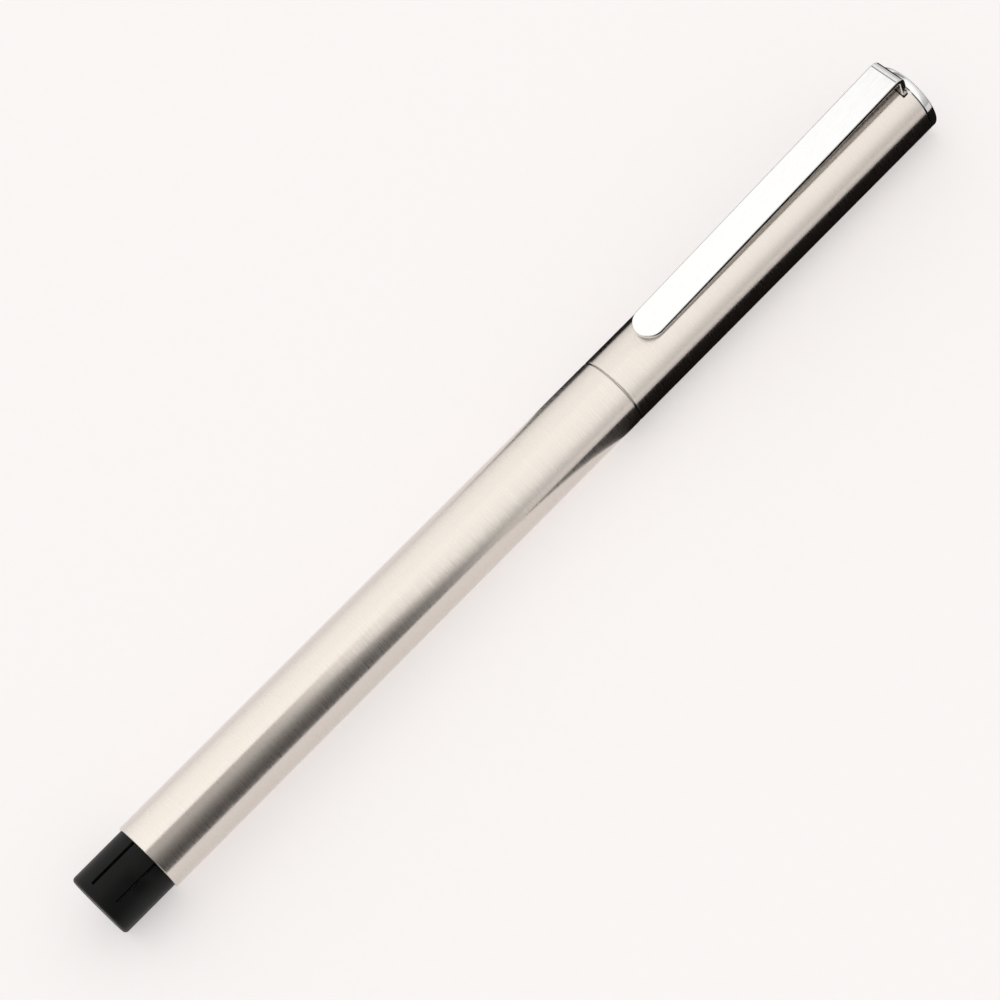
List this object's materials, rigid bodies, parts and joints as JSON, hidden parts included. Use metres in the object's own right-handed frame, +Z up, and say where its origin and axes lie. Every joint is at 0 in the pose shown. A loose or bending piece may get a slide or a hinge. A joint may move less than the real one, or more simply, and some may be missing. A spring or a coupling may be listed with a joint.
{
  "type": "rollerball pen",
  "caption": "Slim capped rollerball pen: brushed steel barrel and cap, flat polished clip, black slotted tail plug, with the refill, spring and screwed grip section inside.",
  "frame": {"origin": "under the middle of the capped pen, on the surface that it lies on", "axes": "+X along the pen towards the cap's end, +Z up through the clip, +Y to the left seen from the tail"},
  "size_m": [0.1384, 0.0094, 0.0126],
  "materials": {
    "brushed_tube": "fine brushing that runs round the tube",
    "polished_steel": "polished",
    "black_moulding": "satin moulded",
    "grey_moulding": "satin moulded",
    "grip_moulding": "matte moulded",
    "turned_brass": "turned",
    "spring_wire": "drawn wire",
    "refill_body": "translucent white",
    "refill_fitting": "moulded",
    "ink_fibre": "ink-soaked fibre",
    "tip_metal": "fine turned",
    "ball_metal": "polished"
  },
  "bodies": {
    "barrel": {"barrel_tube": "brushed_tube", "tail_plug": "black_moulding", "spring_seat": "grey_moulding", "refill_spring": "spring_wire", "thread_bush": "turned_brass"},
    "centre_ring": {"centre_ring": "polished_steel"},
    "grip": {"grip_section": "grip_moulding", "thread_shank": "turned_brass", "snap_ring": "spring_wire", "nose_cone": "polished_steel"},
    "refill": {"refill_tube": "refill_body", "refill_end_plug": "refill_fitting", "ink_reservoir": "ink_fibre", "ink_wick": "ink_fibre", "tip_holder": "refill_fitting", "tip_socket": "tip_metal", "writing_ball": "ball_metal"},
    "cap": {"cap_tube": "brushed_tube", "inner_cap": "black_moulding", "cap_top_bush": "turned_brass", "cap_finial": "polished_steel", "clip_foot": "polished_steel"},
    "clip": {"clip": "polished_steel"}
  },
  "joints": [
    {"name": "ring_travel", "type": "slide", "parent": "barrel", "child": "centre_ring", "axis": [1, 0, 0], "range_m": [0, 0.0045]},
    {"name": "section_unscrew", "type": "hinge", "parent": "centre_ring", "child": "grip", "pos_m": [0.018, 0, 0.00475], "axis": [1, 0, 0], "range_deg": [0, 2160]},
    {"name": "refill_recoil", "type": "slide", "parent": "grip", "child": "refill", "axis": [-1, 0, 0], "range_m": [0, 0.0015], "stiffness_N_per_m": 300, "springref_m": -0.006, "deforming": ["refill_spring"]},
    {"name": "cap_pull", "type": "slide", "parent": "grip", "child": "cap", "axis": [1, 0, 0], "range_m": [0, 0.048]},
    {"name": "clip_flex", "type": "hinge", "parent": "cap", "child": "clip", "pos_m": [0.0674, 0, 0.00855], "axis": [0, 1, 0], "range_deg": [0, 2.5], "stiffness_Nm_per_rad": 8}
  ],
  "couplings": [
    {"joint": "ring_travel", "follows": "section_unscrew", "m_per_rad": 0.00011937}
  ]
}
